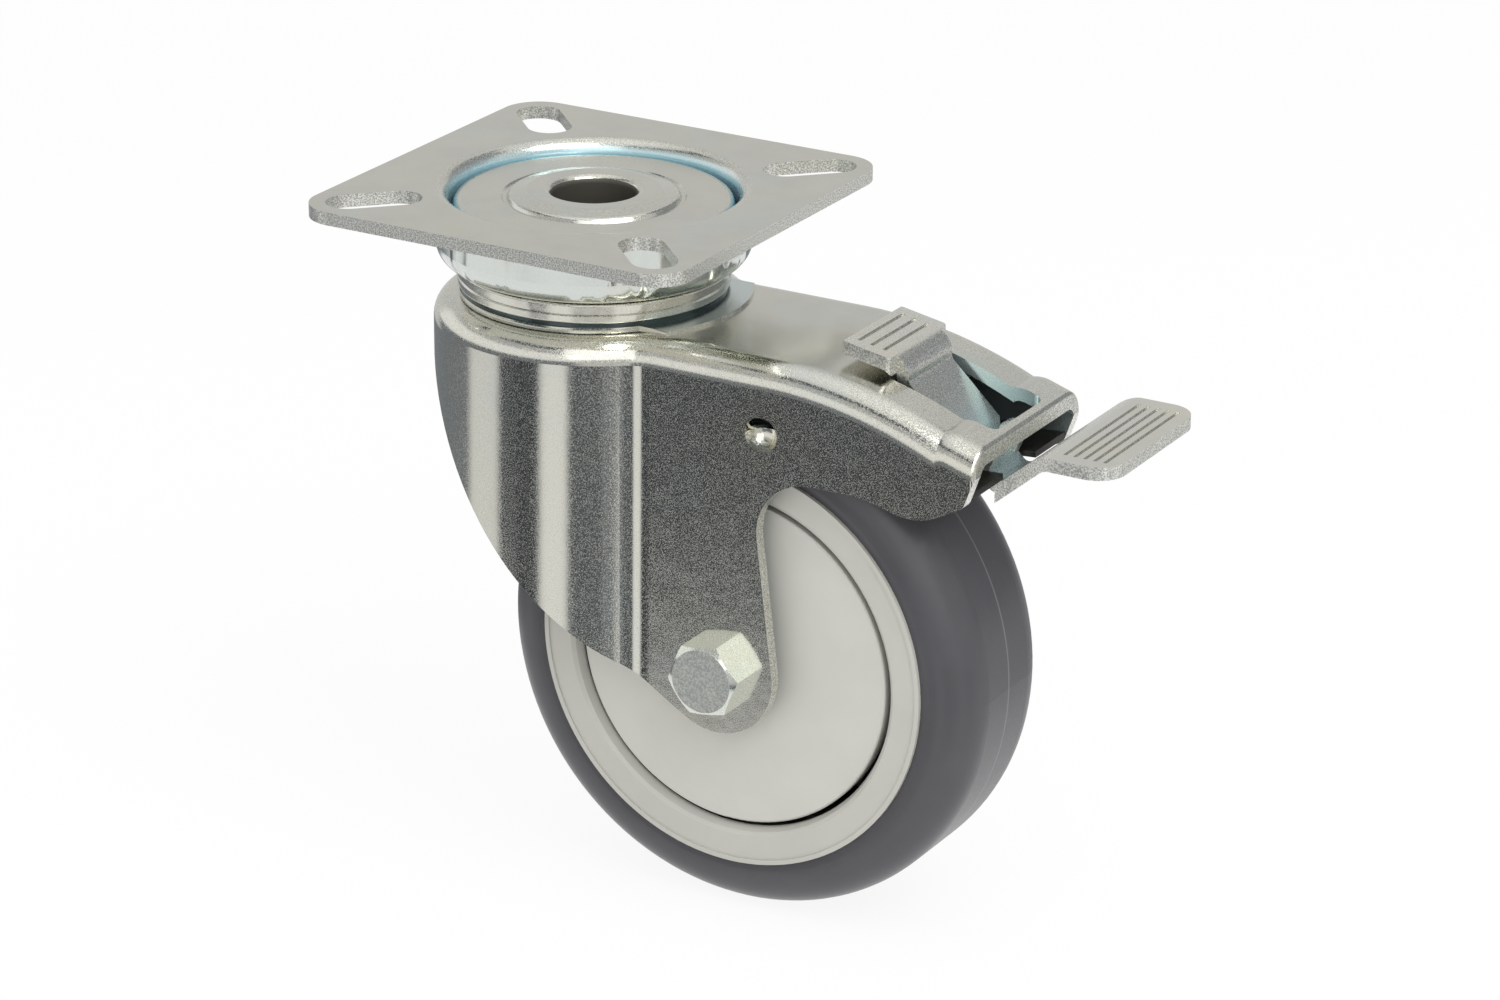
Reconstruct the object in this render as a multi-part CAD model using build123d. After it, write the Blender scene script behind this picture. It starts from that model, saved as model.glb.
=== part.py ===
from build123d import *
import math
import os

# Swivel castor with a square top plate, a double ball race head, a one-piece
# pressed fork, a moulded tread wheel and a pedal brake.
#
# Frame: the origin is on the swivel axis, in the top face of the plate.
# +Z is up, +X points to the tail of the fork and the pedal, and the wheel
# axle runs along Y. All sizes are millimetres.

# Sheet and plate
sheet = 2.5
plate_size = 80.0
plate_corner_r = 7.5
slot_centre = 29.3
slot_length = 18.0
slot_width = 8.6

# Race housing drawn down from the plate
race_outer_r = 29.6
race_depth = 14.6
race_floor_hole_r = 19.6
race_top_soft_r = 2.7
race_bottom_r = 4.6

# Swivel balls, which run on the housing floor above and below
ball_d = 5.0
ball_fit = 0.06
ball_gap = 0.9
upper_ball_wall_gap = 0.1
lower_ball_pitch_r = 21.6

# Upper race cap
cap_r = 26.3
cap_drop = 2.2
cap_sheet = 2.0
cap_edge_r = 1.8
cap_ring_w = 1.2
cap_ring_depth = 0.35

# Hollow kingpin
kingpin_bore_r = 7.9
kingpin_spigot_r = 11.5
kingpin_barrel_r = 13.6
kingpin_head_r = 16.1
kingpin_head_rise = 1.3
kingpin_foot_r = 15.6
kingpin_foot_t = 2.2

# Dust ring round the lower balls
dust_ring_r = 25.7
dust_ring_gap = 0.35
dust_ring_lift = 0.8

# Fork
head_r = 30.0
land_top_z = -19.6
land_rise = 0.6
cheek_gap = 37.0
waist_r = 8.0
shoulder_r = 5.0
web_flat_x = 48.0
web_curve_r = 88.0
fork_length = 91.2
boss_r = 12.0
nose_curve_r = 141.0
chin_x = -24.5
chin_z = -32.6
front_skirt_z = -27.5

# Tail of the fork: a crease, a low hump and a flat end with a short lip
crease_x = 83.3
crest_x = 85.0
crest_z = -27.1
crest_r = 6.0
tail_corner_z = -29.1
tail_end_r = 0.9
lip_bottom_z = -32.3

# Wheel and axle
wheel_d = 100.0
wheel_width = 32.0
trail = 38.8
wheel_top_drop = 32.1
tread_shoulder_r = 8.0
rim_r = 40.0
rim_ring_width = 6.2
groove_width = 1.0
rim_bevel = 0.6
cover_recess = 1.3
cover_t = 1.8
cover_hole_r = 8.6
hub_r = 14.5
hub_inset = 3.5
web_t = 4.0
rib_count = 8
rib_t = 2.0

# Ball bearings in the hub
bearing_bore_r = 4.0
bearing_outer_r = 11.0
bearing_width = 7.0
bearing_inner_ring_r = 6.1
bearing_outer_ring_r = 8.9
bearing_ball_d = 3.9
bearing_ball_count = 7
shield_t = 0.4

# Axle bolt and nut
axle_d = 8.0
bolt_af = 13.0
bolt_head_h = 5.3
nut_h = 8.0
washer_r = 8.0
washer_t = 1.6
running_fit = 0.05

# Brake lever, one strip bent several times
tab_front_x = 58.9
tab_half_w = 11.0
tab_rise = 4.3
tab_length = 9.7
lever_half_w = 8.2
neck_half_w = 5.8
shoulder_half_w = 15.5
pedal_half_w = 18.2
lever_drop_x = 70.0
lever_drop_z = -24.0
lever_foot_x = 88.5
lever_foot_z = -41.5
pedal_start_x = 102.9
pedal_top_z = -28.0
pedal_end_x = 116.6
groove_depth = 0.35
groove_w = 0.7

# Lever pivot, hidden behind the lip of the fork tail
pivot_x = 85.6
pivot_z = -33.9
pivot_r = 1.5
pin_seat = 1.4
ear_r = 2.3
ear_t = 2.0
ear_root_x = 82.8

# Window in the fork web
window_front_x = 66.5
window_half_w = 9.7
crossbar_front_x = 89.4

# Brake leaf
leaf_t = 1.2
leaf_side_gap = 0.3
leaf_tread_gap = 0.9
leaf_front_x = 44.0
leaf_shoe_end_x = 62.0
leaf_waist_x = 81.2
leaf_waist_z = -38.7
leaf_tip_x = 89.6
leaf_tip_z = -38.1
leaf_notch_gap = 0.6
leaf_notch_x = 82.2
leaf_seat_gap = 0.3

# Lanced seats for the leaf in the cheeks
lance_x = 48.0
lance_z = -33.7
lance_r = 3.3
lance_t = 1.5

# Values that follow from the sizes above
race_inner_r = race_outer_r - sheet
floor_top_z = -race_depth + sheet
ball_r = ball_d / 2
upper_ball_pitch_r = race_inner_r - ball_r - upper_ball_wall_gap
upper_ball_z = floor_top_z + ball_r + ball_fit
lower_ball_z = -race_depth - ball_r - ball_fit
fork_top_z = land_top_z - land_rise
inner_half_w = cheek_gap / 2
outer_half_w = inner_half_w + sheet
wheel_r = wheel_d / 2
axle_z = -wheel_top_drop - wheel_r
half_wheel = wheel_width / 2
hub_width = wheel_width - 2 * hub_inset
hub_half = hub_width / 2
bottom_z = axle_z - wheel_r - 5


def turned(points, fillets=()):
    """Solid of revolution about Z from (radius, z) corners.

    fillets holds (corner index, radius) pairs.
    """
    outline = Polygon(*points, align=None)
    for index, radius in fillets:
        target = Vector(points[index][0], points[index][1], 0)
        corner = min(outline.vertices(), key=lambda v: (Vector(*v) - target).length)
        outline = fillet(corner, radius)
    return revolve(Plane.XZ * outline, Axis.Z)


def on_axle(shape):
    """Turn a Z-axis solid onto the wheel axle."""
    return Pos(trail, 0, axle_z) * Rot(90, 0, 0) * shape


def ring_of_balls(count, pitch_r, z, radius):
    """Separate balls evenly spaced on a circle."""
    step = 360 / count
    return [Rot(0, 0, i * step) * Pos(pitch_r, 0, z) * Sphere(radius) for i in range(count)]


def swivel_balls(pitch_r, z):
    """As many swivel balls as fit on the circle with the gap between them."""
    count = int(2 * math.pi * pitch_r / (ball_d + ball_gap))
    return ring_of_balls(count, pitch_r, z, ball_r)


def strip(line, thickness):
    """Face of a bent strip of sheet, from its centre line."""
    upper = line.offset_2d(thickness / 2, side=Side.LEFT, closed=False)
    lower = line.offset_2d(thickness / 2, side=Side.RIGHT, closed=False)
    first, last = lower @ 0, lower @ 1
    if (upper @ 0 - first).length > (upper @ 0 - last).length:
        first, last = last, first
    ends = [Line(upper @ 0, first), Line(upper @ 1, last)]
    return make_face(upper.edges() + lower.edges() + ends)


def across(face, half_width):
    """Extrude an XZ face equally to both sides of Y = 0."""
    return extrude(Plane.XZ * face, half_width, both=True)


# Top plate with its drawn race housing
def build_top_plate():
    blank = RectangleRounded(plate_size, plate_size, plate_corner_r)
    slot = SlotOverall(slot_length, slot_width)
    for quarter in range(4):
        place = Rot(0, 0, 45 + 90 * quarter) * Pos(slot_centre * math.sqrt(2), 0)
        blank -= place * slot
    flange_r = race_outer_r + 2
    flat = Pos(0, 0, -sheet) * extrude(blank - Circle(flange_r - 0.5), sheet)
    housing = turned(
        [
            (flange_r, 0),
            (race_inner_r, 0),
            (race_inner_r, floor_top_z),
            (race_floor_hole_r, floor_top_z),
            (race_floor_hole_r, -race_depth),
            (race_outer_r, -race_depth),
            (race_outer_r, -sheet),
            (flange_r, -sheet),
        ],
        [
            (1, race_top_soft_r),
            (2, race_bottom_r - sheet),
            (5, race_bottom_r),
            (6, 0.8),
        ],
    )
    return flat + housing


# Upper race cap: an inverted cup whose rim rides on the upper balls
def build_swivel_cap():
    rim_z = upper_ball_z + ball_r + ball_fit
    inner_r = cap_r - cap_sheet
    under_z = -cap_drop - cap_sheet
    ring_r = kingpin_head_r + cap_ring_w
    return turned(
        [
            (kingpin_spigot_r, -cap_drop),
            (kingpin_head_r, -cap_drop),
            (kingpin_head_r + 0.2, -cap_drop - cap_ring_depth),
            (ring_r - 0.4, -cap_drop - cap_ring_depth),
            (ring_r, -cap_drop),
            (cap_r, -cap_drop),
            (cap_r, rim_z),
            (inner_r, rim_z),
            (inner_r, under_z),
            (kingpin_spigot_r, under_z),
        ],
        [(5, cap_edge_r), (8, 0.8)],
    )


# Hollow kingpin, riveted over at both ends
def build_kingpin():
    head_z = -cap_drop + kingpin_head_rise
    cap_under_z = -cap_drop - cap_sheet
    fork_under_z = land_top_z - sheet
    foot_z = fork_under_z - kingpin_foot_t
    return turned(
        [
            (kingpin_bore_r, head_z),
            (kingpin_head_r - 3.8, head_z),
            (kingpin_head_r - 0.3, head_z - 0.6 * kingpin_head_rise),
            (kingpin_head_r, -cap_drop),
            (kingpin_spigot_r, -cap_drop),
            (kingpin_spigot_r, cap_under_z),
            (kingpin_barrel_r, cap_under_z),
            (kingpin_barrel_r, land_top_z),
            (kingpin_spigot_r, land_top_z),
            (kingpin_spigot_r, fork_under_z),
            (kingpin_foot_r, fork_under_z),
            (kingpin_foot_r, foot_z),
            (kingpin_bore_r, foot_z),
        ],
        [(0, 1.5), (1, 5.0), (2, 0.8), (11, 1.2), (12, 1.0)],
    )


def build_dust_ring():
    top_z = -race_depth - dust_ring_gap
    foot_z = land_top_z + dust_ring_lift
    bead_z = (top_z + foot_z) / 2
    inner_r = lower_ball_pitch_r + ball_r + 0.15
    neck_r = inner_r + 0.7
    waist = dust_ring_r - 0.5
    return turned(
        [
            (inner_r, top_z),
            (dust_ring_r, top_z),
            (dust_ring_r, bead_z + 0.5),
            (waist, bead_z + 0.3),
            (waist, bead_z - 0.1),
            (dust_ring_r - 0.2, bead_z - 0.4),
            (dust_ring_r - 0.2, foot_z),
            (neck_r, foot_z),
            (neck_r, land_top_z),
            (inner_r, land_top_z),
        ],
        [(1, 0.4), (6, 0.5)],
    )


def nose_centre():
    """Centre of the nose curve: through the chin, tangent to the axle boss."""
    reach = nose_curve_r - boss_r
    dx = trail - chin_x
    dz = axle_z - chin_z
    gap = math.hypot(dx, dz)
    along = (nose_curve_r**2 - reach**2 + gap**2) / (2 * gap)
    side = math.sqrt(nose_curve_r**2 - along**2)
    ux = dx / gap
    uz = dz / gap
    return (chin_x + along * ux - side * uz, chin_z + along * uz + side * ux)


# Side outline of the fork, seen along Y, without its top
def fork_side_outline():
    cx, cz = nose_centre()
    far = math.hypot(trail - cx, axle_z - cz)
    touch = (
        cx + (trail - cx) / far * nose_curve_r,
        cz + (axle_z - cz) / far * nose_curve_r,
    )
    leg_top = (47.2, -53.0)
    leg_angle = math.atan2(leg_top[1] - axle_z, leg_top[0] - trail)
    leg_reach = math.hypot(leg_top[1] - axle_z, leg_top[0] - trail)
    tangent_angle = leg_angle - math.acos(boss_r / leg_reach)
    leg_foot = (
        trail + boss_r * math.cos(tangent_angle),
        axle_z + boss_r * math.sin(tangent_angle),
    )
    boss_bottom = (trail, axle_z - boss_r)
    # The nose curve meets the level front edge of the skirt here
    drop = front_skirt_z - cz
    skirt_x = cx - math.sqrt(nose_curve_r**2 - drop**2)
    front_x = -head_r - 2
    mid_z = (front_skirt_z + touch[1]) / 2
    mid = (cx - math.sqrt(nose_curve_r**2 - (mid_z - cz) ** 2), mid_z)
    leg_dx = (leg_foot[0] - leg_top[0]) / (leg_foot[1] - leg_top[1])
    arch = (leg_top[0] + leg_dx * (-41.9 - leg_top[1]), -41.9)
    tail = [
        leg_foot,
        arch,
        (69.0, -41.6),
        (79.8, -44.6),
        (89.2, -39.6),
        (fork_length + 0.4, lip_bottom_z - 0.5),
        (fork_length + 0.4, 0),
        (front_x, 0),
        (front_x, front_skirt_z),
        (skirt_x, front_skirt_z),
    ]
    edges = [
        Polyline(*tail),
        ThreePointArc((skirt_x, front_skirt_z), mid, touch),
        ThreePointArc(touch, boss_bottom, leg_foot),
    ]
    face = make_face([e for part in edges for e in part.edges()])
    for corner, radius in (
        (arch, 11.0),
        ((69.0, -41.6), 20.0),
        ((79.8, -44.6), 12.0),
        ((89.2, -39.6), 2.5),
        ((skirt_x, front_skirt_z), 6.0),
    ):
        target = Vector(corner[0], corner[1], 0)
        vertex = min(face.vertices(), key=lambda v: (Vector(*v) - target).length)
        face = fillet(vertex, radius)
    return face


def fork_form(inset):
    """Solid form of the fork: its outside at inset 0, its inside at inset sheet."""
    radius = head_r - inset
    half_w = outer_half_w - inset
    length = fork_length + 10 if inset else fork_length
    plan = Circle(radius) + Pos(length / 2, 0) * Rectangle(length, 2 * half_w)
    waist_x = math.sqrt(radius**2 - half_w**2)
    for side in (-1, 1):
        target = Vector(waist_x, side * half_w, 0)
        corner = min(plan.vertices(), key=lambda v: (Vector(*v) - target).length)
        plan = fillet(corner, waist_r + inset)
    walls = Pos(0, 0, bottom_z) * extrude(plan, -bottom_z)
    top_z = fork_top_z - inset
    curve_r = web_curve_r - inset
    end_x = length + 5
    end_z = top_z - curve_r + math.sqrt(curve_r**2 - (end_x - web_flat_x) ** 2)
    mid_x = (web_flat_x + end_x) / 2
    mid_z = top_z - curve_r + math.sqrt(curve_r**2 - (mid_x - web_flat_x) ** 2)
    back_x = -head_r - 5
    edges = [
        Line((back_x, top_z), (web_flat_x, top_z)),
        ThreePointArc((web_flat_x, top_z), (mid_x, mid_z), (end_x, end_z)),
        Line((end_x, end_z), (end_x, bottom_z - 5)),
        Line((end_x, bottom_z - 5), (back_x, bottom_z - 5)),
        Line((back_x, bottom_z - 5), (back_x, top_z)),
    ]
    under_web = across(make_face([e for part in edges for e in part.edges()]), head_r + 5)
    form = walls & under_web
    rounded = shoulder_r - inset
    # The top edges that get the shoulder bend: all but the end of the tail
    tops = []
    for edge in form.edges():
        middle = edge @ 0.5
        on_curve = middle.Z > end_z - 1 and middle.Z > top_z - 20
        at_end = abs(middle.X - length) < 0.01
        vertical = abs((edge % 0.5).Z) > 0.9
        if on_curve and not at_end and not vertical and abs(middle.Y) > 1:
            tops.append(edge)
        elif on_curve and not vertical and middle.X < -radius + 1:
            tops.append(edge)
    wide = [e for e in tops if (e @ 0.5).X < -radius + 1 or abs((e @ 0.5).Y) > half_w - 1]
    return fillet(wide, rounded)


def tail_form(inset):
    """Solid form of the tail behind the crease, outside or inside as in fork_form."""
    lead_x = crease_x - 12
    outline = Polygon(
        (lead_x, crest_z - 0.2 * (crest_x - lead_x)),
        (crest_x, crest_z),
        (fork_length, tail_corner_z),
        (fork_length, bottom_z),
        (lead_x, bottom_z),
        align=None,
    )
    crest = Vector(crest_x, crest_z, 0)
    vertex = min(outline.vertices(), key=lambda v: (Vector(*v) - crest).length)
    outline = fillet(vertex, crest_r)
    if inset:
        outline = offset(outline, -inset)
    half_w = outer_half_w - inset
    end_x = fork_length - inset
    form = across(outline, half_w)
    edges = []
    for edge in form.edges():
        middle = edge @ 0.5
        at_side = abs(abs(middle.Y) - half_w) < 0.01
        if at_side and lead_x + inset + 1 < middle.X < end_x - 0.01 and middle.Z > bottom_z + inset + 1:
            edges.append(edge)
    form = fillet(edges, shoulder_r - inset)
    if inset:
        return form
    ends = [e for e in form.edges() if (e @ 0).X > end_x - 0.01 and (e @ 1).X > end_x - 0.01]
    return fillet([e for e in ends if (e @ 0.5).Z > bottom_z + 1], tail_end_r)


def joined_form(inset):
    """Main form up to the crease, and the tail form behind it."""
    front = Pos(crease_x - 100, 0, bottom_z) * Box(200, 100, 300)
    rear = Pos(crease_x + 100, 0, bottom_z) * Box(200, 100, 300)
    return (fork_form(inset) & front) + (tail_form(inset) & rear)


# One-piece pressed fork
def build_fork():
    side = across(fork_side_outline(), head_r + 5)
    outside = joined_form(0)
    body = (outside & side) - joined_form(sheet)
    # The end wall stays only as a short lip over the brake lever
    mouth = RectangleRounded(2 * inner_half_w, 40, shoulder_r - sheet)
    mouth = Plane.YZ * Pos(0, lip_bottom_z - 20) * mouth
    body -= Pos(fork_length - 4, 0, 0) * extrude(mouth, 8)
    # Raised land round the head, a little above the web
    land = Circle(head_r - shoulder_r + 0.2)
    land += Pos(head_r / 2, 0) * Rectangle(head_r, 2 * (outer_half_w - shoulder_r)) & Circle(head_r - 0.1)
    body += Pos(0, 0, fork_top_z) * extrude(land, land_rise)
    body += Pos(0, 0, fork_top_z - sheet - 0.01) * Cylinder(
        kingpin_foot_r + 1.5, land_rise + 0.01, align=(Align.CENTER, Align.CENTER, Align.MIN)
    )
    under = Pos(0, 0, land_top_z - sheet)
    below = (Align.CENTER, Align.CENTER, Align.MAX)
    body -= under * Cylinder(kingpin_foot_r + 1.5, 5, align=below)
    # Seats for the kingpin and the lower balls
    body -= Cylinder(kingpin_spigot_r, 80)
    groove = Plane.XZ * (Pos(lower_ball_pitch_r, lower_ball_z) * Circle(ball_r + ball_fit))
    body -= revolve(groove, Axis.Z)
    # Window for the brake lever
    window_len = crossbar_front_x - window_front_x
    window = RectangleRounded(window_len, 2 * window_half_w, 2.0)
    window_x = window_front_x + window_len / 2
    body -= Pos(window_x, 0, fork_top_z - 20) * extrude(window, 25)
    # Blind seats in the cheeks for the lever pivot pins
    body -= Pos(pivot_x, 0, pivot_z) * Rot(90, 0, 0) * Cylinder(
        pivot_r + running_fit, 2 * (inner_half_w + pin_seat)
    )
    # Axle holes
    body -= on_axle(Cylinder(axle_d / 2 + 0.1, 2 * outer_half_w + 2))
    # Lanced seats for the brake leaf
    for sign in (-1, 1):
        centre = Pos(lance_x, sign * outer_half_w, lance_z)
        ledge_z = leaf_bottom_z(lance_x + lance_r + lance_t) - leaf_seat_gap
        bulge = centre * Sphere(lance_r + lance_t)
        keep_h = ledge_z - (lance_z - 10)
        keep = Pos(lance_x, sign * (outer_half_w - 5.1), lance_z - 10 + keep_h / 2)
        bulge &= keep * Box(20, 10, keep_h)
        body += bulge
        body -= centre * Sphere(lance_r)
        drill = Pos(lance_x, sign * (outer_half_w - sheet / 2), lance_z + lance_r)
        hole = centre * Rot(90, 0, 0) * Cylinder(lance_r, 2 * sheet)
        hole &= drill * Box(4 * lance_r, sheet + 1, 2 * lance_r)
        body -= hole
    return body


def leaf_bottom_z(x):
    """Height of the underside of the leaf's shoe at x, over the tread."""
    radius = wheel_r + leaf_tread_gap
    return axle_z + math.sqrt(radius**2 - (x - trail) ** 2)


# Tyre moulded round the rim
def build_tyre():
    bed = rim_r - 4
    body = turned(
        [
            (bed, -half_wheel + 4),
            (rim_r, -half_wheel + 4),
            (rim_r, -half_wheel + 0.5),
            (wheel_r, -half_wheel),
            (wheel_r, half_wheel),
            (rim_r, half_wheel - 0.5),
            (rim_r, half_wheel - 4),
            (bed, half_wheel - 4),
        ],
        [(3, tread_shoulder_r), (4, tread_shoulder_r)],
    )
    return on_axle(body)


# Moulded rim: outer ring, ribbed disc and hub
def build_rim():
    bed = rim_r - 4
    ring_in = rim_r - rim_ring_width
    cover_r = ring_in - rim_bevel - groove_width
    pocket = half_wheel - cover_recess - cover_t - 1.5
    wall_r = ring_in - rim_bevel
    rim = turned(
        [
            (wall_r - 1.2, -web_t / 2),
            (wall_r, -half_wheel + 2.2),
            (ring_in, -half_wheel + 0.6),
            (ring_in + 0.7, -half_wheel),
            (rim_r - 0.9, -half_wheel),
            (rim_r - 0.9, -half_wheel - 0.3),
            (rim_r, -half_wheel - 0.3),
            (rim_r, -half_wheel + 4),
            (bed, -half_wheel + 4),
            (bed, half_wheel - 4),
            (rim_r, half_wheel - 4),
            (rim_r, half_wheel + 0.3),
            (rim_r - 0.9, half_wheel + 0.3),
            (rim_r - 0.9, half_wheel),
            (ring_in + 0.7, half_wheel),
            (ring_in, half_wheel - 0.6),
            (wall_r, half_wheel - 2.2),
            (wall_r - 1.2, web_t / 2),
        ]
    )
    bearing_seat = hub_half - bearing_width
    hub = Cylinder(hub_r, hub_width) - Cylinder(bearing_outer_r - 1.5, hub_width + 2)
    hub -= Pos(0, 0, bearing_seat + 5) * Cylinder(bearing_outer_r, 10)
    hub -= Pos(0, 0, -bearing_seat - 5) * Cylinder(bearing_outer_r, 10)
    disc = Cylinder(wall_r, web_t) - Cylinder(hub_r - 0.5, web_t + 2)
    wheel = rim + hub + disc
    # The ribs carry the covers, and are lower where they cross the groove
    rib_start = hub_r - 0.5
    rib_len = cover_r - 0.4 - rib_start
    foot_len = wall_r + 0.3 - rib_start
    rib = Pos(rib_start + rib_len / 2, 0, 0) * Box(rib_len, rib_t, 2 * pocket)
    rib += Pos(rib_start + foot_len / 2, 0, 0) * Box(foot_len, rib_t, 0.8 * half_wheel)
    for i in range(rib_count):
        wheel += Rot(0, 0, i * 360 / rib_count) * rib
    return on_axle(wheel)


def build_cover(side):
    """Flat cover disc, snapped into the rim; side is -1 near or 1 far."""
    ring_in = rim_r - rim_ring_width
    cover_r = ring_in - rim_bevel - groove_width
    pocket = half_wheel - cover_recess - cover_t - 1.5
    face_y = half_wheel - cover_recess
    disc = turned(
        [
            (cover_hole_r, face_y),
            (cover_r, face_y),
            (cover_r, pocket),
            (cover_r - 1.6, pocket),
            (cover_r - 1.6, face_y - cover_t),
            (cover_hole_r, face_y - cover_t),
        ],
        [(1, 0.4)],
    )
    turn = Rot(0, 0, 0) if side < 0 else Rot(180, 0, 0)
    return on_axle(turn * disc)


def both_ends(shape, offset):
    """Two copies of an axle part, one at each end of the hub."""
    return [on_axle(Pos(0, 0, s * offset) * shape) for s in (-1, 1)]


def tube(outer, inner, length):
    return Cylinder(outer, length) - Cylinder(inner, length + 2)


bearing_mid = hub_half - bearing_width / 2
ball_track_r = (bearing_inner_ring_r + bearing_outer_ring_r) / 2


def race_groove():
    section = Plane.XZ * (Pos(ball_track_r, 0) * Circle(bearing_ball_d / 2 + 0.02))
    return revolve(section, Axis.Z)


def build_outer_rings():
    return both_ends(tube(bearing_outer_r, bearing_outer_ring_r, bearing_width) - race_groove(), bearing_mid)


def build_inner_rings():
    return both_ends(tube(bearing_inner_ring_r, bearing_bore_r, bearing_width) - race_groove(), bearing_mid)


def build_bearing_balls():
    balls = ring_of_balls(bearing_ball_count, ball_track_r, 0, bearing_ball_d / 2)
    return [on_axle(Pos(0, 0, s * bearing_mid) * b) for s in (-1, 1) for b in balls]


def build_shields():
    shield = tube(bearing_outer_ring_r - 0.02, bearing_inner_ring_r + 0.15, shield_t)
    inset = bearing_width / 2 - shield_t / 2 - 0.1
    return [
        on_axle(Pos(0, 0, s * bearing_mid + e * inset) * shield) for s in (-1, 1) for e in (-1, 1)
    ]


def build_hub_sleeve():
    return on_axle(tube(bearing_inner_ring_r, bearing_bore_r, 2 * (hub_half - bearing_width)))


def build_side_bushes():
    length = inner_half_w - hub_half
    bush = tube(bearing_inner_ring_r, bearing_bore_r, length)
    return both_ends(bush, hub_half + length / 2)


# Axle bolt: head on the near side, nut on the far side
def build_axle_bolt():
    nut_end = outer_half_w + washer_t + nut_h + 1.5
    shank_len = outer_half_w + nut_end
    shank = Pos(0, 0, (outer_half_w - nut_end) / 2) * Cylinder(axle_d / 2, shank_len)
    shank = chamfer(shank.edges().sort_by(Axis.Z)[0], 0.8)
    head_plan = RegularPolygon(bolt_af / 2, 6, major_radius=False)
    head = Pos(0, 0, outer_half_w) * extrude(Rot(0, 0, 8) * head_plan, bolt_head_h)
    corner_r = bolt_af / math.sqrt(3)
    dome = turned(
        [
            (0, outer_half_w - 1),
            (corner_r + 0.1, outer_half_w - 1),
            (corner_r + 0.1, outer_half_w + bolt_head_h - 0.9),
            (bolt_af / 2 * 0.94, outer_half_w + bolt_head_h),
            (0, outer_half_w + bolt_head_h),
        ]
    )
    return on_axle(shank + (head & dome))


def build_axle_washer():
    ring = tube(washer_r, axle_d / 2 + 0.2, washer_t)
    return on_axle(Pos(0, 0, -outer_half_w - washer_t / 2) * ring)


def build_axle_nut():
    base = -outer_half_w - washer_t
    hex_h = nut_h - 2.0
    body = extrude(RegularPolygon(bolt_af / 2, 6, major_radius=False), hex_h)
    corner_r = bolt_af / math.sqrt(3)
    collar_r = bolt_af / 2 - 0.6
    limit = turned(
        [
            (0, 0),
            (bolt_af / 2 * 0.94, 0),
            (corner_r + 0.1, 0.8),
            (corner_r + 0.1, hex_h - 0.8),
            (bolt_af / 2 * 0.94, hex_h),
            (0, hex_h),
        ]
    )
    collar = Pos(0, 0, hex_h) * Cylinder(collar_r, 2.0, align=(Align.CENTER, Align.CENTER, Align.MIN))
    collar = fillet(collar.edges().sort_by(Axis.Z)[-1], 0.9)
    nut = (body & limit) + collar
    nut -= Cylinder(axle_d / 2, 40)
    return on_axle(Pos(0, 0, base) * Rot(180, 0, 0) * nut)


# Brake lever: release tab, window arm, neck, shoulders and pedal
def build_brake_lever():
    web_slope = (tab_front_x + 5 - web_flat_x) / web_curve_r
    tab_mid_z = web_z(tab_front_x) + tab_rise - sheet / 2
    bend_x = lever_drop_x - 0.2
    bend_z = tab_mid_z - web_slope * (bend_x - tab_front_x)
    mid_z = pedal_top_z - sheet / 2
    centre_line = FilletPolyline(
        (tab_front_x, tab_mid_z),
        (bend_x, bend_z),
        (lever_drop_x, lever_drop_z),
        (lever_foot_x, lever_foot_z),
        (pedal_start_x, mid_z),
        (pedal_end_x, mid_z),
        radius=[3.0, 2.5, 2.6, 5.0],
    )
    profile = strip(Wire(centre_line.edges()), sheet)
    body = across(profile, pedal_half_w + 1)
    body &= Pos(0, 0, bottom_z) * extrude(lever_plan(), -bottom_z)
    # Ears that carry the pivot pins, standing on the sloping part of the strip
    slope = (lever_foot_z - lever_drop_z) / (lever_foot_x - lever_drop_x)
    ear_foot = [
        (ear_root_x, lever_foot_z + slope * (ear_root_x - lever_foot_x)),
        (pivot_x - 0.7 * ear_r, pivot_z + 0.7 * ear_r),
        (pivot_x + 0.9 * ear_r, pivot_z - 0.4 * ear_r),
        (pivot_x + 0.3, lever_foot_z + slope * (pivot_x + 0.3 - lever_foot_x)),
    ]
    ear_face = Polygon(*ear_foot, align=None) + Pos(pivot_x, pivot_z) * Circle(ear_r)
    ear_face -= Pos(pivot_x, pivot_z) * Circle(pivot_r)
    ear = across(ear_face, ear_t / 2)
    for sign in (-1, 1):
        body += Pos(0, sign * (neck_half_w - ear_t / 2), 0) * ear
    # Anti-slip grooves pressed in the tab and the pedal
    for i in range(5):
        x = pedal_start_x + 3.0 + 1.95 * i
        body -= Pos(x, 0, pedal_top_z) * Box(groove_w, 30, 2 * groove_depth)
    for i in range(3):
        x = tab_front_x + 2.1 + 2.55 * i
        z = tab_mid_z - web_slope * (x - tab_front_x) + sheet / 2
        body -= Pos(x, 0, z) * Box(groove_w, 17, 2 * groove_depth)
    return body


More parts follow.
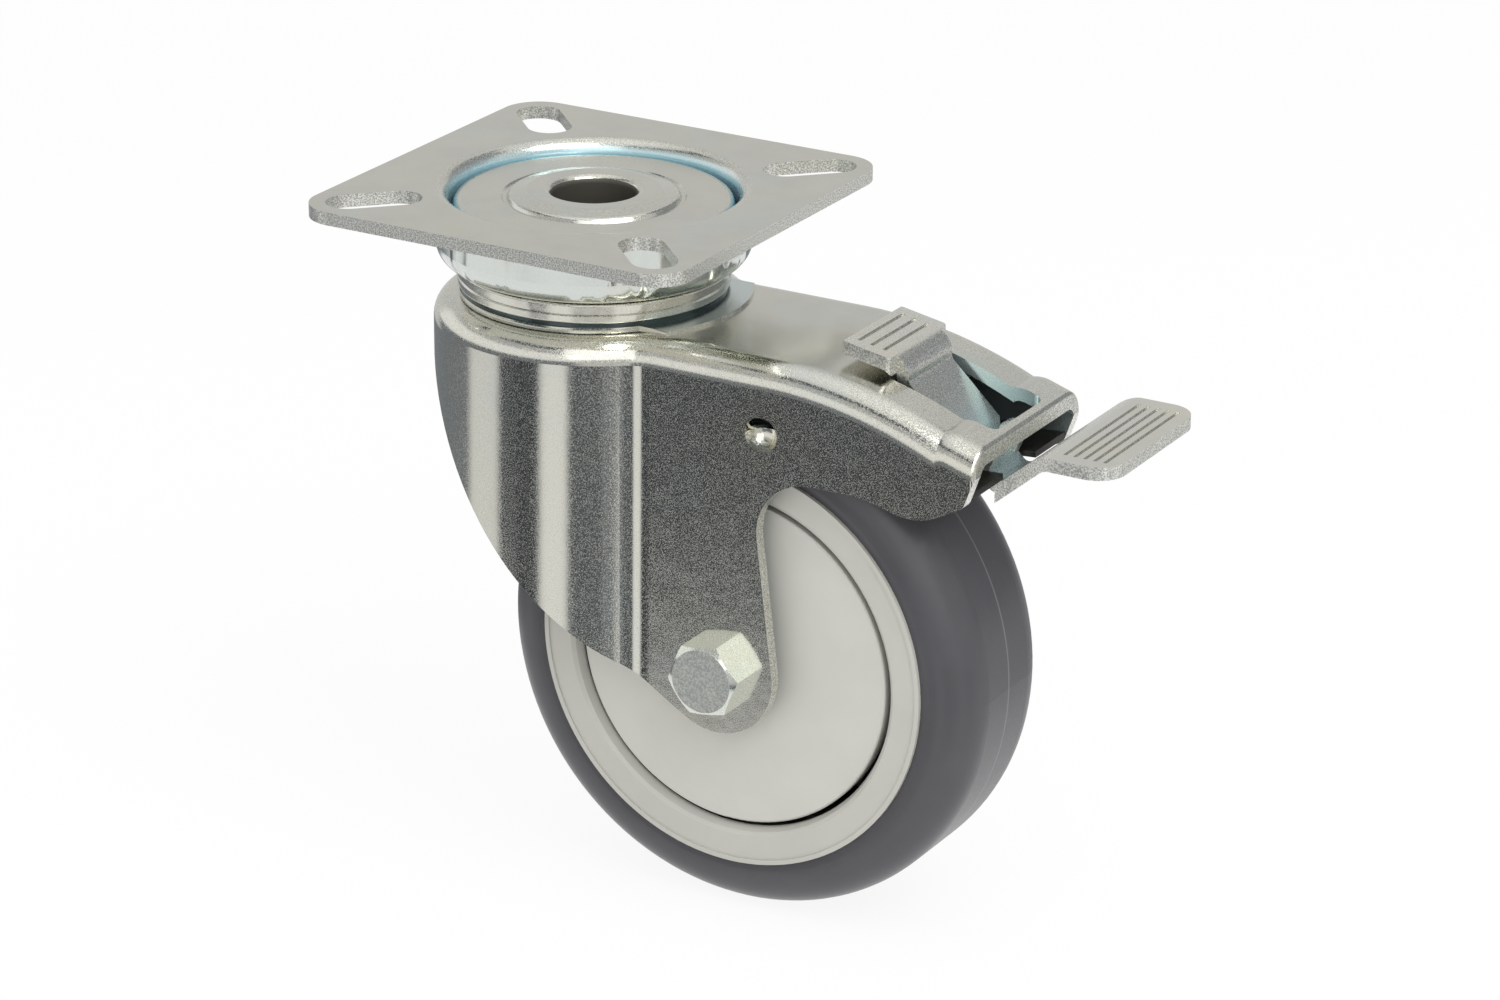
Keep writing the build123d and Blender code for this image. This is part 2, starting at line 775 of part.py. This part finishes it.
def lever_plan():
    """Outline of the lever seen from above."""
    tab_end = tab_front_x + tab_length
    tab = Pos((tab_front_x + tab_end) / 2, 0) * RectangleRounded(tab_length, 2 * tab_half_w, 0.8)
    arm_start = tab_front_x + 2
    taper_x = leaf_notch_x + 0.5
    arm = Polygon(
        (arm_start, -lever_half_w),
        (taper_x - 1.5, -lever_half_w),
        (taper_x, -neck_half_w),
        (pedal_start_x, -neck_half_w),
        (pedal_start_x, neck_half_w),
        (taper_x, neck_half_w),
        (taper_x - 1.5, lever_half_w),
        (arm_start, lever_half_w),
        align=None,
    )
    shoulder_x = leaf_tip_x + 3.0
    flare_x = pedal_start_x - 1.5
    pedal = Polygon(
        (shoulder_x, -shoulder_half_w),
        (flare_x - 4, -shoulder_half_w - 0.3),
        (flare_x + 3, -pedal_half_w),
        (pedal_end_x, -pedal_half_w),
        (pedal_end_x, pedal_half_w),
        (flare_x + 3, pedal_half_w),
        (flare_x - 4, shoulder_half_w + 0.3),
        (shoulder_x, shoulder_half_w),
        align=None,
    )
    ends = [v for v in pedal.vertices() if v.X > pedal_end_x - 0.01]
    pedal = fillet(ends, 5.5)
    flares = [v for v in pedal.vertices() if flare_x - 5 < v.X < flare_x + 4]
    pedal = fillet(flares, 4.0)
    return tab + arm + pedal


def web_z(x):
    """Height of the top of the fork web at x."""
    run = max(x - web_flat_x, 0)
    return fork_top_z - web_curve_r + math.sqrt(web_curve_r**2 - run**2)


def build_pivot_pins():
    inner_end = neck_half_w - ear_t
    length = inner_half_w + pin_seat - 0.1 - inner_end
    pins = []
    for sign in (-1, 1):
        middle = sign * (inner_end + length / 2)
        pins.append(Pos(pivot_x, middle, pivot_z) * Rot(90, 0, 0) * Cylinder(pivot_r, length))
    return pins


# Spring steel leaf: a curved shoe over the tread and a notched tail
def build_brake_leaf():
    shoe_r = wheel_r + leaf_tread_gap + leaf_t / 2

    def shoe_point(x):
        return (x, axle_z + math.sqrt(shoe_r**2 - (x - trail) ** 2))

    start = shoe_point(leaf_front_x)
    middle = shoe_point((leaf_front_x + leaf_shoe_end_x) / 2)
    end = shoe_point(leaf_shoe_end_x)
    shoe = Edge.make_three_point_arc(Vector(*start, 0), Vector(*middle, 0), Vector(*end, 0))
    lead = shoe % 1
    corner_x = leaf_shoe_end_x + 2.5
    corner = (corner_x, end[1] + lead.Y / lead.X * (corner_x - leaf_shoe_end_x))
    tail = FilletPolyline(
        end, corner, (leaf_waist_x, leaf_waist_z), (leaf_tip_x, leaf_tip_z), radius=[4.0, 8.0]
    )
    face = strip(Wire([shoe] + list(tail.edges())), leaf_t)
    half_w = inner_half_w - leaf_side_gap
    body = across(face, half_w)
    notch_half = neck_half_w + leaf_notch_gap
    notch_len = leaf_tip_x - leaf_notch_x + 5
    notch = RectangleRounded(notch_len, 2 * notch_half, 1.5)
    body -= Pos(leaf_notch_x + notch_len / 2, 0, leaf_waist_z - 10) * extrude(notch, 20)
    return body


os.makedirs("parts", exist_ok=True)

pieces = {
    "top_plate": build_top_plate(),
    "swivel_cap": build_swivel_cap(),
    "kingpin": build_kingpin(),
    "upper_balls": swivel_balls(upper_ball_pitch_r, upper_ball_z),
    "lower_balls": swivel_balls(lower_ball_pitch_r, lower_ball_z),
    "dust_ring": build_dust_ring(),
    "fork": build_fork(),
    "tyre": build_tyre(),
    "wheel_rim": build_rim(),
    "near_cover": build_cover(-1),
    "far_cover": build_cover(1),
    "bearing_outer_rings": build_outer_rings(),
    "bearing_inner_rings": build_inner_rings(),
    "bearing_balls": build_bearing_balls(),
    "bearing_shields": build_shields(),
    "hub_sleeve": build_hub_sleeve(),
    "side_bushes": build_side_bushes(),
    "axle_bolt": build_axle_bolt(),
    "axle_washer": build_axle_washer(),
    "axle_nut": build_axle_nut(),
    "brake_lever": build_brake_lever(),
    "pivot_pins": build_pivot_pins(),
    "brake_leaf": build_brake_leaf(),
}

for name, shape in pieces.items():
    if isinstance(shape, list):
        shape = Compound(children=shape)
    export_step(shape, f"parts/{name}.step")
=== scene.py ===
import math

import bpy
from mathutils import Matrix, Vector


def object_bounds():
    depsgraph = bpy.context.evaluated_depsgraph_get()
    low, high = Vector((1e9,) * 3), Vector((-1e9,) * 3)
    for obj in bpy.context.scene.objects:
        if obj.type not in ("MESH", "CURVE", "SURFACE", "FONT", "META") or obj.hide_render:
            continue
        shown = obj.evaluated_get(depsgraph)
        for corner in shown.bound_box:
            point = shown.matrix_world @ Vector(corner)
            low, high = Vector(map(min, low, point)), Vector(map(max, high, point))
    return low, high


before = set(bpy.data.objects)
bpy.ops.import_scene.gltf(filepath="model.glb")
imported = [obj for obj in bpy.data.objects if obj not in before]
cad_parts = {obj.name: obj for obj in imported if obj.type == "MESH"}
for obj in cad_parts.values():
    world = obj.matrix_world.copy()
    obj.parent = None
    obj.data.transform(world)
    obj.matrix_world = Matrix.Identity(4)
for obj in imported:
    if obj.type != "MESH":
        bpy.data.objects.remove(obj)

cad_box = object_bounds()
MM = 0.001

# Colours of the metals, and of the blue tints on them; the teal in the race groove is painted
# light
ZINC = (0.665, 0.66, 0.595, 1)
LEVER_ZINC = (0.76, 0.745, 0.665, 1)
BOLT_ZINC = (0.70, 0.74, 0.66, 1)
BOLT_FACE = (0.50, 0.51, 0.49, 1)
HOUSING_WALL = (0.66, 0.71, 0.70, 1)
STEEL = (0.63, 0.63, 0.63, 1)
BLACK_STEEL = (0.075, 0.070, 0.064, 1)
TEAL = (0.30, 0.42, 0.44, 1)
RACE_TEAL_PAINTED_LIGHT = (0.46, 0.66, 0.72, 1)
LAND_TEAL = (0.55, 0.66, 0.68, 1)
# Painted glints: the dark and bright of the speckle on sheared edges
EDGE_DARK = (0.50, 0.50, 0.46, 1)
EDGE_GLINT_PAINTED = (0.95, 0.95, 0.90, 1)

# Painted shade, for places that little light reaches
RING_GAP_PAINTED_SHADOW = (0.07, 0.09, 0.09, 1)
PIN_BORE_PAINTED_SHADE = (0.085, 0.080, 0.065, 1)
RIM_GROOVE_PAINTED_SHADE = (0.012, 0.012, 0.013, 1)

# Fineness of the noises, in cells per metre
FINE_GRAIN = 4200
EDGE_GRIT = 3600
BOLT_PATCHES = 2600
RAGGED_EDGE = 2200
SLOW_WAVE = 150
HOUSING_STREAKS = 110
PLASTIC_CLOUD = 90
FLAT_CLOUD = 75
BROAD_CLOUD = 42

# Heights of the bumps on metal, in metres
WAVE_HEIGHT = 0.000045
EDGE_HEIGHT = 0.00003
GRAIN_HEIGHT = 0.0000030

# A face counts as a wall when its normal's vertical part, up or down, is below this
WALL = 0.6

# Where the masks begin and end on the part. Radii are from the swivel axis, across is
# from the middle plane, along is toward the pedal, and heights are from the plate's top
PLATE_BEYOND_RADIUS = 31 * MM
HOUSING_BEYOND_RADIUS = 28 * MM
HOUSING_BELOW = -3.2 * MM
RACE_WITHIN_RADIUS = 29.2 * MM
RACE_DEPTH = (-0.5 * MM, -2.4 * MM)
CAP_RIM_RADII = (24.4 * MM, 25.6 * MM)
CAP_RIM_DEPTH = (-2.25 * MM, -3.0 * MM)
RING_BEYOND_RADIUS = 20 * MM
RING_PAINTED_SHADOW_DEPTH = (-18.4 * MM, -18.9 * MM)
BORE_WITHIN_RADIUS = 8.2 * MM
LAND_ABOVE = -19.9 * MM
WEB_ABOVE = -33 * MM
CHEEK_BELOW = -34 * MM
CHEEK_BEYOND_ACROSS = 18.2 * MM
CHEEK_BEYOND_ALONG = 6 * MM
WINDOW_WITHIN_ACROSS = 12 * MM
WINDOW_ALONG = (60 * MM, 90.5 * MM)
SLOPE_DEPTH = (-26 * MM, -34 * MM)
SLOPE_ALONG = (69 * MM, 93 * MM)
PARTING_ACROSS = (0.30 * MM, 0.08 * MM)
GROOVE_WITHIN_ACROSS = 13.4 * MM


class Graph:
    """A short way to write shader node trees."""

    def __init__(self, tree):
        self.tree = tree
        self.nodes = tree.nodes
        self.nodes.clear()

    def put(self, socket, value):
        if isinstance(value, bpy.types.NodeSocket):
            self.tree.links.new(value, socket)
        else:
            socket.default_value = value

    def node(self, kind, inputs=None, **settings):
        made = self.nodes.new(kind)
        for key, value in settings.items():
            setattr(made, key, value)
        for key, value in (inputs or {}).items():
            self.put(made.inputs[key], value)
        return made

    def math(self, operation, a, b=0.0, c=0.0, clamp=False):
        inputs = {0: a, 1: b, 2: c}
        made = self.node("ShaderNodeMath", inputs, operation=operation, use_clamp=clamp)
        return made.outputs[0]

    def times(self, product, *others):
        for other in others:
            product = self.math("MULTIPLY", product, other)
        return product

    def plus(self, a, b):
        return self.math("ADD", a, b)

    def either(self, a, b):
        """The larger of two masks."""
        return self.math("MAXIMUM", a, b)

    def abs(self, value):
        return self.math("ABSOLUTE", value)

    def above(self, value, limit):
        """1 where value > limit."""
        return self.math("GREATER_THAN", value, limit)

    def below(self, value, limit):
        """1 where value < limit."""
        return self.math("LESS_THAN", value, limit)

    def between(self, value, low, high):
        """1 where low < value < high."""
        return self.times(self.above(value, low), self.below(value, high))

    def ramp(self, value, low, high, out_low=0.0, out_high=1.0):
        """A smooth step, from out_low at low to out_high at high."""
        inputs = {
            "Value": value, "From Min": low, "From Max": high,
            "To Min": out_low, "To Max": out_high,
        }
        made = self.node("ShaderNodeMapRange", inputs, interpolation_type="SMOOTHSTEP")
        return made.outputs["Result"]

    def mix(self, factor, a, b):
        """Colour a where the factor is 0, colour b where it is 1."""
        made = self.node("ShaderNodeMix", {0: factor, 6: a, 7: b}, data_type="RGBA")
        return made.outputs[2]

    def lerp(self, factor, a, b):
        """Number a where the factor is 0, number b where it is 1."""
        made = self.node("ShaderNodeMix", {0: factor, 2: a, 3: b}, data_type="FLOAT")
        return made.outputs[0]

    def noise(self, where, scale, detail=2.0, rough=0.5):
        inputs = {"Vector": where, "Scale": scale, "Detail": detail, "Roughness": rough}
        return self.node("ShaderNodeTexNoise", inputs).outputs["Fac"]

    def stretch(self, where, x, y, z):
        inputs = {0: where, 1: (x, y, z)}
        return self.node("ShaderNodeVectorMath", inputs, operation="MULTIPLY").outputs[0]

    def bump(self, height, strength, distance, under=None):
        inputs = {"Height": height, "Strength": strength, "Distance": distance}
        made = self.node("ShaderNodeBump", inputs)
        if under is not None:
            self.put(made.inputs["Normal"], under)
        return made.outputs["Normal"]

    def set(self, name, value):
        """Set an input of the surface's shader."""
        self.put(self.shader.inputs[name], value)

    def source(self, name):
        """What feeds an input of the surface's shader."""
        return self.shader.inputs[name].links[0].from_socket


def rgb(r, g, b):
    """sRGB bytes as the linear colour a shader takes."""
    def channel(v):
        v /= 255
        return v / 12.92 if v <= 0.04045 else ((v + 0.055) / 1.055) ** 2.4
    return (channel(r), channel(g), channel(b), 1.0)


def scaled(colour, r, g=None, b=None):
    """A colour times one factor, or times a factor for each channel."""
    factors = (r, r if g is None else g, r if b is None else b)
    return tuple(min(1.0, c * f) for c, f in zip(colour, factors)) + (1,)


def surface(name):
    """A material with its shader, and the places and facings that the masks use."""
    material = bpy.data.materials.new(name)
    material.use_nodes = True
    g = Graph(material.node_tree)
    g.shader = g.node("ShaderNodeBsdfPrincipled")
    out = g.node("ShaderNodeOutputMaterial")
    g.tree.links.new(g.shader.outputs[0], out.inputs[0])
    g.where = g.node("ShaderNodeTexCoord").outputs["Object"]
    g.x, g.y, g.z = g.node("ShaderNodeSeparateXYZ", {0: g.where}).outputs
    # In the object's own frame, so that the masks stay in place when a body turns
    facing = g.node(
        "ShaderNodeVectorTransform", {0: g.node("ShaderNodeNewGeometry").outputs["True Normal"]},
        vector_type="NORMAL", convert_from="WORLD", convert_to="OBJECT",
    ).outputs[0]
    g.nx, g.ny, g.nz = g.node("ShaderNodeSeparateXYZ", {0: facing}).outputs
    g.radius = g.math("SQRT", g.plus(g.times(g.x, g.x), g.times(g.y, g.y)))
    return material, g


def zinc(name, colour=ZINC, rough=0.13, grain=1.0, wave=1.0, tint=0.45,
         edges=None, blue_areas=None, blue_colour=TEAL):
    """Bright zinc on steel: fine grain, a blue tint on given areas, and sheared edges speckled
    with painted glints.
    """
    material, g = surface(name)
    fine = g.noise(g.where, FINE_GRAIN, 1.0, 0.6)
    broad = g.noise(g.where, BROAD_CLOUD, 3.0, 0.55)
    slow = g.noise(g.where, SLOW_WAVE)
    # Bends have more grain than walls, and level top faces the least
    level = g.above(g.nz, 0.985)
    bend = g.between(g.nz, 0.12, 0.97)
    amount = g.lerp(level, g.lerp(bend, grain, grain * 1.6), grain * 0.25)
    speck = g.math("ADD", 0.5, g.times(g.math("SUBTRACT", fine, 0.5), amount), clamp=True)
    base = g.mix(speck, scaled(colour, 0.60), scaled(colour, 1.40))
    cloud = g.times(g.ramp(g.noise(g.where, FLAT_CLOUD, 4.0, 0.65), 0.35, 0.75), level)
    base = g.mix(g.times(cloud, 0.5), base, scaled(colour, 0.86))
    cool = g.times(g.ramp(broad, 0.50, 0.70), tint)
    base = g.mix(cool, base, scaled(colour, 0.92, 0.99, 1.06))
    warm = g.times(g.ramp(broad, 0.48, 0.30), tint)
    base = g.mix(warm, base, scaled(colour, 1.03, 1.0, 0.93))
    grainy = g.times(g.ramp(fine, 0.38, 0.66), amount)
    roughness = g.plus(g.times(grainy, 0.15), rough - 0.06)
    roughness = g.lerp(level, roughness, rough + 0.08)
    normal = g.bump(slow, 1.0, WAVE_HEIGHT * wave)
    normal = g.bump(g.times(fine, amount), 1.0, GRAIN_HEIGHT, normal)
    metallic = 1.0
    if blue_areas:
        blue = blue_areas(g)
        base = g.mix(blue, base, blue_colour)
        metallic = g.lerp(blue, 1.0, 0.6)
        roughness = g.lerp(blue, roughness, 0.26)
    if edges:
        mask = edges(g)
        grit = g.noise(g.where, EDGE_GRIT, 1.0)
        # The sheared edges' colour is speckled with painted glints
        painted_glint = g.ramp(grit, 0.36, 0.64)
        base = g.mix(mask, base, g.mix(painted_glint, EDGE_DARK, EDGE_GLINT_PAINTED))
        roughness = g.lerp(mask, roughness, 0.34)
        ragged = g.noise(g.stretch(g.where, 1, 1, 0.3), RAGGED_EDGE, 1.0)
        normal = g.bump(g.times(g.plus(grit, ragged), mask), 1.0, EDGE_HEIGHT, normal)
    g.set("Base Color", base)
    g.set("Metallic", metallic)
    g.set("Roughness", roughness)
    g.set("Normal", normal)
    return material, g


def plastic(name, colour, rough, grain_scale, grain_height, mottled):
    """Moulded plastic or rubber: two shades a little apart, under a fine texture."""
    material, g = surface(name)
    broad = g.noise(g.where, PLASTIC_CLOUD, 3.0, 0.6)
    fine = g.noise(g.where, grain_scale)
    shade = g.ramp(broad, 0.3, 0.7)
    g.set("Base Color", g.mix(shade, scaled(colour, 1 - mottled), scaled(colour, 1 + mottled)))
    g.set("Roughness", g.lerp(fine, rough - 0.05, rough + 0.06))
    g.set("Normal", g.bump(fine, 0.5, grain_height))
    return material, g


def smooth_plastic(name, colour):
    return plastic(name, colour, rough=0.42, grain_scale=900, grain_height=0.00002, mottled=0.02)


def lean(g, mask, degrees):
    """Turn a wall's shading down by a small angle."""
    height = g.times(g.z, math.tan(math.radians(degrees)), mask)
    g.set("Normal", g.bump(height, 1.0, 1.0, g.source("Normal")))


def tint(g, mask, colour):
    """Colour part of a finished surface."""
    g.set("Base Color", g.mix(mask, g.source("Base Color"), colour))


def plate_edges(g):
    """The plate's outline and its slots, which are all outside the race housing."""
    return g.times(g.below(g.abs(g.nz), WALL), g.above(g.radius, PLATE_BEYOND_RADIUS))


def race_painted_teal_light(g):
    """The inside of the drawn race housing, where teal light is painted."""
    inside = g.below(g.radius, RACE_WITHIN_RADIUS)
    outward = g.plus(g.times(g.nx, g.x), g.times(g.ny, g.y))
    facing_in = g.below(outward, 4 * MM)
    not_under = g.above(g.nz, -0.3)
    inside = g.times(inside, g.times(facing_in, not_under))
    return g.times(g.ramp(g.z, *RACE_DEPTH), inside)


def fork_edges(g):
    """The sheared outline of the cheeks, and the end of the tail."""
    along = g.below(g.abs(g.ny), 0.45)
    outer = g.above(g.abs(g.y), CHEEK_BEYOND_ACROSS)
    low = g.below(g.z, CHEEK_BELOW)
    behind = g.above(g.x, CHEEK_BEYOND_ALONG)
    cheek = g.times(g.times(along, outer), g.times(low, behind))
    facing_down = g.below(g.nz, -0.5)
    cheek = g.either(cheek, g.times(facing_down, low, outer))
    tail_end = g.above(g.nx, 0.995)
    return g.either(cheek, tail_end)


def land(g):
    """The raised land round the neck of the head."""
    return g.times(g.above(g.nz, 0.95), g.above(g.z, LAND_ABOVE))


def fork_blue(g):
    """Inner faces of the cheeks and the web, and the walls of the window."""
    inward = g.below(g.times(g.ny, g.math("SIGN", g.y)), -0.5)
    facing_down = g.below(g.nz, -0.6)
    hidden = g.either(inward, g.times(facing_down, g.above(g.z, WEB_ABOVE)))
    window = g.times(g.below(g.abs(g.nz), WALL), g.below(g.abs(g.y), WINDOW_WITHIN_ACROSS))
    window = g.times(window, g.between(g.x, *WINDOW_ALONG))
    return g.times(g.either(hidden, window), 0.7)


def lever_edges(g):
    """The long sides of the lever, and the end of its pedal."""
    return g.either(g.above(g.abs(g.ny), 0.6), g.above(g.nx, 0.8))


def lever_blue(g):
    """The sloping part of the lever's strip."""
    deep = g.ramp(g.z, *SLOPE_DEPTH)
    return g.times(deep, g.between(g.x, *SLOPE_ALONG), 0.75)


# The fork, with a light tint on the land round its neck
sheet_zinc, g = zinc("zinc_sheet", wave=0.5, edges=fork_edges, blue_areas=fork_blue)
tint(g, g.times(land(g), 0.6), LAND_TEAL)

# The top plate, with upright streaks on the wall of its housing, and painted teal light inside
# its race
plate_zinc, g = zinc(
    "zinc_plate", rough=0.17, edges=plate_edges, blue_areas=race_painted_teal_light, blue_colour=RACE_TEAL_PAINTED_LIGHT
)
housing = g.times(g.above(g.radius, HOUSING_BEYOND_RADIUS), g.below(g.z, HOUSING_BELOW))
streaks = g.ramp(g.noise(g.stretch(g.where, 1, 1, 0.15), HOUSING_STREAKS), 0.50, 0.72)
lean(g, g.times(housing, g.lerp(streaks, 1.0, 0.36)), 7.0)
tint(g, g.times(housing, g.lerp(streaks, 0.7, 0.3)), HOUSING_WALL)

lever_zinc, _ = zinc(
    "zinc_lever", colour=LEVER_ZINC, rough=0.20, edges=lever_edges, blue_areas=lever_blue
)
part_zinc, _ = zinc("zinc_parts", rough=0.18, grain=0.8)

# The dust ring, with painted shadow at the gap where it meets the head
ring_zinc, g = zinc("zinc_ring", rough=0.15, grain=0.8)
lean(g, g.above(g.radius, RING_BEYOND_RADIUS), 4.0)
tint(g, g.ramp(g.z, *RING_PAINTED_SHADOW_DEPTH), RING_GAP_PAINTED_SHADOW)

ground_steel, _ = zinc("ground_steel", colour=STEEL, rough=0.10, grain=0.1, wave=0.0, tint=0.1)
black_steel, _ = zinc("black_steel", colour=BLACK_STEEL, rough=0.40, tint=0.2)

# The swivel cap, with painted teal light where its rim goes down into the groove
cap_zinc, g = zinc("zinc_cap", rough=0.17, grain=0.7)
rim = g.ramp(g.radius, *CAP_RIM_RADII)
tint(g, g.times(rim, g.ramp(g.z, *CAP_RIM_DEPTH)), RACE_TEAL_PAINTED_LIGHT)

# The kingpin, with painted shade darkening its bore, which is also duller
kingpin_zinc, g = zinc("zinc_kingpin", rough=0.15, grain=0.9)
dull_bore_painted_shade = g.times(g.below(g.radius, BORE_WITHIN_RADIUS), g.below(g.abs(g.nz), 0.5))
tint(g, dull_bore_painted_shade, PIN_BORE_PAINTED_SHADE)
g.set("Metallic", g.lerp(dull_bore_painted_shade, 1.0, 0.4))
g.set("Roughness", g.lerp(dull_bore_painted_shade, g.source("Roughness"), 0.5))

# The axle bolt, nut and washer, with duller, patchy end faces
bolt_zinc, g = zinc("zinc_bolt", colour=BOLT_ZINC, rough=0.16, grain=0.8, wave=0.6)
face = g.above(g.abs(g.ny), 0.97)
patches = g.ramp(g.noise(g.where, BOLT_PATCHES, 1.0), 0.35, 0.65)
tint(g, g.times(face, patches), BOLT_FACE)
g.set("Roughness", g.lerp(face, g.source("Roughness"), 0.34))

# The tyre, with the parting line of its mould
rubber, g = plastic(
    "tread_rubber", rgb(73, 72, 76),
    rough=0.31, grain_scale=1400, grain_height=0.00003, mottled=0.05,
)
parting = g.ramp(g.abs(g.y), *PARTING_ACROSS)
tint(g, g.times(parting, 0.6), rgb(128, 126, 129))

# The covers, and the rim, with painted shade making the groove round them black
cover_plastic, _ = smooth_plastic("cover_plastic", rgb(194, 193, 186))
rim_plastic, g = smooth_plastic("rim_plastic", rgb(184, 183, 176))
tint(g, g.below(g.abs(g.y), GROOVE_WITHIN_ACROSS), RIM_GROOVE_PAINTED_SHADE)

for material, pieces in (
    (sheet_zinc, "fork"),
    (plate_zinc, "top_plate"),
    (cap_zinc, "swivel_cap"),
    (kingpin_zinc, "kingpin"),
    (ring_zinc, "dust_ring"),
    (lever_zinc, "brake_lever"),
    (black_steel, "brake_leaf"),
    (bolt_zinc, "axle_bolt axle_washer axle_nut"),
    (part_zinc, "pivot_pins side_bushes hub_sleeve"),
    (ground_steel, "upper_balls lower_balls bearing_balls"),
    (ground_steel, "bearing_outer_rings bearing_inner_rings bearing_shields"),
    (rubber, "tyre"),
    (rim_plastic, "wheel_rim"),
    (cover_plastic, "near_cover far_cover"),
):
    for piece in pieces.split():
        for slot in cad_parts[piece].material_slots:
            slot.link = "OBJECT"
            slot.material = material

# Floor
floor_z = cad_box[0][2]
bpy.ops.mesh.primitive_circle_add(
    vertices=96, radius=6.0, fill_type="NGON", location=(0.03, 0, floor_z)
)
floor = bpy.context.object
floor.name = "floor"
floor_look, g = surface("floor_white")
g.set("Base Color", (0.90, 0.90, 0.89, 1))
g.set("Roughness", 0.9)
# What the camera sees of the floor is lifted to the white of the backdrop; the shadow stays
white = g.node("ShaderNodeEmission", {"Color": (1, 1, 1, 1), "Strength": 1.0})
lift = g.times(g.node("ShaderNodeLightPath").outputs["Is Camera Ray"], 0.9)
blend = g.node("ShaderNodeMixShader", {0: lift, 1: g.shader.outputs[0], 2: white.outputs[0]})
g.tree.links.new(blend.outputs[0], g.nodes["Material Output"].inputs[0])
floor.data.materials.append(floor_look)
floor.visible_glossy = False

# World: a white studio, with the soft boxes and the darker gaps that bright metal mirrors
world = bpy.data.worlds.new("studio")
bpy.context.scene.world = world
world.use_nodes = True
g = Graph(world.node_tree)
direction = g.node("ShaderNodeTexCoord").outputs["Generated"]
dx, dy, dz = g.node("ShaderNodeSeparateXYZ", {0: direction}).outputs
DEGREES = 180 / math.pi
turn = g.times(g.math("ARCTAN2", dx, g.times(dy, -1.0)), DEGREES)
rise = g.times(g.math("ARCSINE", dz), DEGREES)


def sector(centre, half, soft):
    """1 inside an azimuth sector, with soft ends. Azimuth 0 is in front, 90 at the right."""
    off = g.abs(g.math("WRAP", g.math("SUBTRACT", turn, centre), 180.0, -180.0))
    return g.ramp(off, half + soft, half)


def band(low, high, soft):
    """1 between two heights above the horizon, in degrees."""
    return g.times(g.ramp(rise, low - soft, low), g.ramp(rise, high + soft, high))


# The low strip just over the table: sectors with their levels, in a dim surround
strip = 0.22
for across, level in (
    ((-53, 12, 9), 0.85),
    ((-24, 13, 8), 0.07),
    ((3.5, 8, 7), 1.00),
    ((26, 10, 7), 0.12),
    ((44, 5, 4), 0.22),
    ((58, 8, 6), 1.00),
    ((84, 10, 8), 0.30),
    ((112, 15, 8), 0.90),
    ((165, 18, 12), 0.60),
):
    strip = g.lerp(sector(*across), strip, level)

# The room above the strip: sectors cut by bands of height, with their levels
studio = g.ramp(rise, 35.0, 80.0, 0.66, 1.0)
for across, heights, level in (
    ((-45, 60, 12), (-30, 37, 4), 1.0),
    ((-45, 60, 12), (-20, -6, 5), 0.22),
    ((-45, 60, 12), (27, 40, 6), 0.55),
    ((-45, 45, 12), (43, 50, 4), 0.15),
    ((152, 22, 10), (0, 48, 8), 0.32),
):
    studio = g.lerp(g.times(sector(*across), band(*heights)), studio, level)
studio = g.lerp(g.ramp(rise, -15.5, -18.5), studio, strip)

# The table begins a little lower in the part that the wrap of the head mirrors
table_rise = g.plus(rise, g.times(sector(16, 41, 3.5), 3.0))
studio = g.lerp(g.ramp(table_rise, -22.8, -24.9), studio, 0.98)

# Reflections show the studio, soft light comes evenly, and the camera sees white
path = g.node("ShaderNodeLightPath")
mirrored = g.either(path.outputs["Is Glossy Ray"], path.outputs["Is Transmission Ray"])
strength = g.lerp(mirrored, 0.80, studio)
strength = g.lerp(path.outputs["Is Camera Ray"], strength, 1.0)
# The dark gaps are a little bluer than the lit walls
hue = g.mix(g.ramp(studio, 0.02, 0.6), (0.91, 1.0, 1.13, 1), (1, 1, 1, 1))
hue = g.mix(mirrored, (1, 1, 1, 1), hue)
background = g.node("ShaderNodeBackground", {"Color": hue, "Strength": strength})
out = g.node("ShaderNodeOutputWorld")
g.tree.links.new(background.outputs[0], out.inputs[0])

# Lamps: name, place, width in metres, power in watts
lamp_target = Vector((0.03, 0, -0.06))
for name, place, width, power in (
    ("key", (0.55, -0.25, 0.75), 0.6, 4.5),
    ("front", (0.75, -1.1, 0.70), 1.2, 4.5),
):
    lamp_data = bpy.data.lights.new(name, "AREA")
    lamp_data.shape = "RECTANGLE"
    lamp_data.size = lamp_data.size_y = width
    lamp_data.energy = power
    lamp = bpy.data.objects.new(name, lamp_data)
    bpy.context.scene.collection.objects.link(lamp)
    lamp.location = place
    lamp.rotation_euler = (lamp_target - Vector(place)).to_track_quat("-Z", "Y").to_euler()

# Camera, at the photograph's view
azimuth, elevation, roll = (math.radians(angle) for angle in (29.797, 21.343, 0.513))
look_at = Vector((33.389, 0.835, -56.447)) * MM
DISTANCE_MM = 947.242
FOCAL_PIXELS = 5084.167
PHOTO_WIDTH = 1500
SENSOR_WIDTH = 36.0
back = Vector((
    math.sin(azimuth) * math.cos(elevation),
    -math.cos(azimuth) * math.cos(elevation),
    math.sin(elevation),
))
right = (-back).cross(Vector((0, 0, 1))).normalized()
up = right.cross(-back)
rolled_right = math.cos(roll) * right + math.sin(roll) * up
rolled_up = -math.sin(roll) * right + math.cos(roll) * up
camera_data = bpy.data.cameras.new("camera")
camera_data.sensor_fit = "HORIZONTAL"
camera_data.sensor_width = SENSOR_WIDTH
camera_data.lens = FOCAL_PIXELS / PHOTO_WIDTH * SENSOR_WIDTH
camera_data.clip_end = 50
camera = bpy.data.objects.new("camera", camera_data)
bpy.context.scene.collection.objects.link(camera)
turned = Matrix((rolled_right, rolled_up, back)).transposed().to_4x4()
camera.matrix_world = Matrix.Translation(look_at + back * DISTANCE_MM * MM) @ turned
bpy.context.scene.camera = camera
bpy.context.scene.view_settings.view_transform = "Standard"
